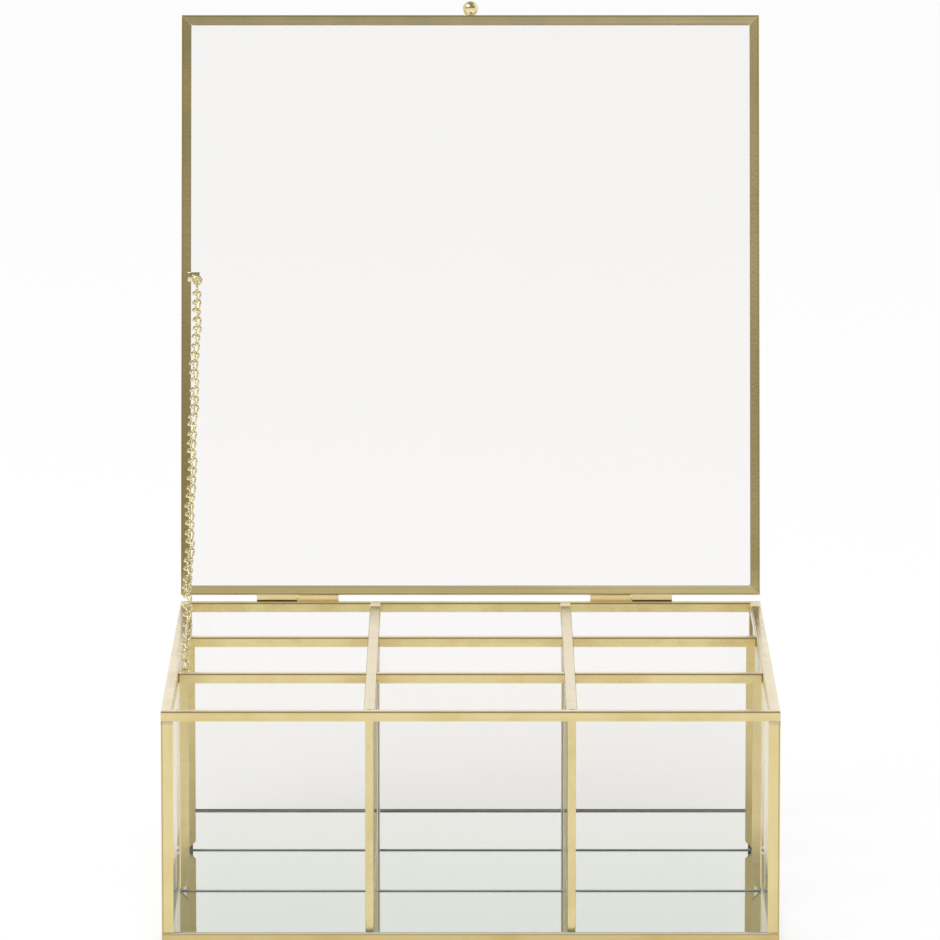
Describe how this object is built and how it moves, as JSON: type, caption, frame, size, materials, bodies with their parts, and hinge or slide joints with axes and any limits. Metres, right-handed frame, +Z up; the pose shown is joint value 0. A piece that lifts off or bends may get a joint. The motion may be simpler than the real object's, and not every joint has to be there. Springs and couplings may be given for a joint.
{
  "type": "tea bag organizer box",
  "caption": "Clear glass tea box framed in folded brass strip, with open compartments over a mirror floor and a hinged glass lid held open by a chain.",
  "frame": {"origin": "middle of the base, in the plane of the undersides of the bottom rails", "axes": "+Z up, +X to the right, the front faces -Y; the lid is hinged along the rear edge and the row stands with the lid open"},
  "size_m": [0.22, 0.2738, 0.3077],
  "materials": {
    "brass": "satin, pale antique brass strip",
    "chain_brass": "bright pale brass wire",
    "clear_glass": "clear, polished",
    "mirror": "silvered float glass"
  },
  "bodies": {
    "box": {"mirror_base": "mirror", "front_glass": "clear_glass", "rear_glass": "clear_glass", "left_glass": "clear_glass", "right_glass": "clear_glass", "front_bottom_rail": "brass", "rear_bottom_rail": "brass", "left_bottom_rail": "brass", "right_bottom_rail": "brass", "front_left_post": "brass", "front_right_post": "brass", "rear_left_post": "brass", "rear_right_post": "brass", "front_top_rim": "brass", "rear_top_rim": "brass", "left_top_rim": "brass", "right_top_rim": "brass", "long_divider_left_glass": "clear_glass", "long_divider_right_glass": "clear_glass", "long_divider_left_frame": "brass", "long_divider_right_frame": "brass", "cross_front_left_glass": "clear_glass", "cross_front_middle_glass": "clear_glass", "cross_front_right_glass": "clear_glass", "cross_rear_left_glass": "clear_glass", "cross_rear_middle_glass": "clear_glass", "cross_rear_right_glass": "clear_glass", "cross_front_left_frame": "brass", "cross_front_middle_frame": "brass", "cross_front_right_frame": "brass", "cross_rear_left_frame": "brass", "cross_rear_middle_frame": "brass", "cross_rear_right_frame": "brass", "box_chain_eye": "chain_brass", "left_box_knuckle": "brass", "right_box_knuckle": "brass", "left_hinge_pin": "brass", "right_hinge_pin": "brass"},
    "lid": {"lid_glass_pane": "clear_glass", "lid_front_rail": "brass", "lid_rear_rail": "brass", "lid_left_rail": "brass", "lid_right_rail": "brass", "lid_knob": "brass", "lid_chain_eye": "chain_brass", "left_lid_knuckle": "brass", "right_lid_knuckle": "brass"},
    "chain_01": {"chain_segment_01": "chain_brass"},
    "chain_02": {"chain_segment_02": "chain_brass"},
    "chain_03": {"chain_segment_03": "chain_brass"},
    "chain_04": {"chain_segment_04": "chain_brass"},
    "chain_05": {"chain_segment_05": "chain_brass"},
    "chain_06": {"chain_segment_06": "chain_brass"},
    "chain_07": {"chain_segment_07": "chain_brass"},
    "chain_08": {"chain_segment_08": "chain_brass"},
    "chain_09": {"chain_segment_09": "chain_brass"},
    "chain_10": {"chain_segment_10": "chain_brass"},
    "chain_11": {"chain_segment_11": "chain_brass"}
  },
  "joints": [
    {"name": "lid_hinge", "type": "hinge", "parent": "box", "child": "lid", "pos_m": [0, 0.11155, 0.08495], "axis": [1, 0, 0], "range_deg": [0, 102]},
    {"name": "chain_fold_01", "type": "hinge", "parent": "box", "child": "chain_01", "pos_m": [-0.1038, -0.0305, 0.0815], "axis": [1, 0, 0], "range_deg": [-102.8, 0]},
    {"name": "chain_fold_02", "type": "hinge", "parent": "chain_01", "child": "chain_02", "pos_m": [-0.1038, -0.01549, 0.09248], "axis": [1, 0, 0], "range_deg": [-39.4, 0]},
    {"name": "chain_fold_03", "type": "hinge", "parent": "chain_02", "child": "chain_03", "pos_m": [-0.1038, -0.00039, 0.10351], "axis": [1, 0, 0], "range_deg": [0, 92.9]},
    {"name": "chain_fold_04", "type": "hinge", "parent": "chain_03", "child": "chain_04", "pos_m": [-0.1038, 0.01471, 0.11454], "axis": [1, 0, 0], "range_deg": [0, 125]},
    {"name": "chain_fold_05", "type": "hinge", "parent": "chain_06", "child": "chain_05", "pos_m": [-0.1038, 0.0449, 0.13661], "axis": [1, 0, 0], "range_deg": [-71.3, 0]},
    {"name": "chain_fold_06", "type": "hinge", "parent": "chain_07", "child": "chain_06", "pos_m": [-0.1038, 0.05999, 0.14765], "axis": [1, 0, 0], "range_deg": [0, 93.8]},
    {"name": "chain_fold_07", "type": "hinge", "parent": "chain_08", "child": "chain_07", "pos_m": [-0.1038, 0.07509, 0.15868], "axis": [1, 0, 0], "range_deg": [-115.8, 0]},
    {"name": "chain_fold_08", "type": "hinge", "parent": "chain_09", "child": "chain_08", "pos_m": [-0.1038, 0.09018, 0.16972], "axis": [1, 0, 0], "range_deg": [-90.4, 0]},
    {"name": "chain_fold_09", "type": "hinge", "parent": "chain_10", "child": "chain_09", "pos_m": [-0.1038, 0.10528, 0.18075], "axis": [1, 0, 0], "range_deg": [-67, 0]},
    {"name": "chain_fold_10", "type": "hinge", "parent": "chain_11", "child": "chain_10", "pos_m": [-0.1038, 0.12037, 0.19178], "axis": [1, 0, 0], "range_deg": [0, 123.9]},
    {"name": "chain_fold_11", "type": "hinge", "parent": "lid", "child": "chain_11", "pos_m": [-0.1038, 0.13469, 0.20225], "axis": [1, 0, 0], "range_deg": [-19.9, 0]}
  ],
  "couplings": [
    {"joint": "chain_fold_01", "follows": "lid_hinge", "ratio": -1.0066},
    {"joint": "chain_fold_02", "follows": "lid_hinge", "ratio": -0.3852},
    {"joint": "chain_fold_03", "follows": "lid_hinge", "ratio": 0.90941},
    {"joint": "chain_fold_04", "follows": "lid_hinge", "ratio": 1.2244},
    {"joint": "chain_fold_05", "follows": "lid_hinge", "ratio": -0.69824},
    {"joint": "chain_fold_06", "follows": "lid_hinge", "ratio": 0.91863},
    {"joint": "chain_fold_07", "follows": "lid_hinge", "ratio": -1.1347},
    {"joint": "chain_fold_08", "follows": "lid_hinge", "ratio": -0.88569},
    {"joint": "chain_fold_09", "follows": "lid_hinge", "ratio": -0.65549},
    {"joint": "chain_fold_10", "follows": "lid_hinge", "ratio": 1.2135},
    {"joint": "chain_fold_11", "follows": "lid_hinge", "ratio": -0.19392}
  ]
}
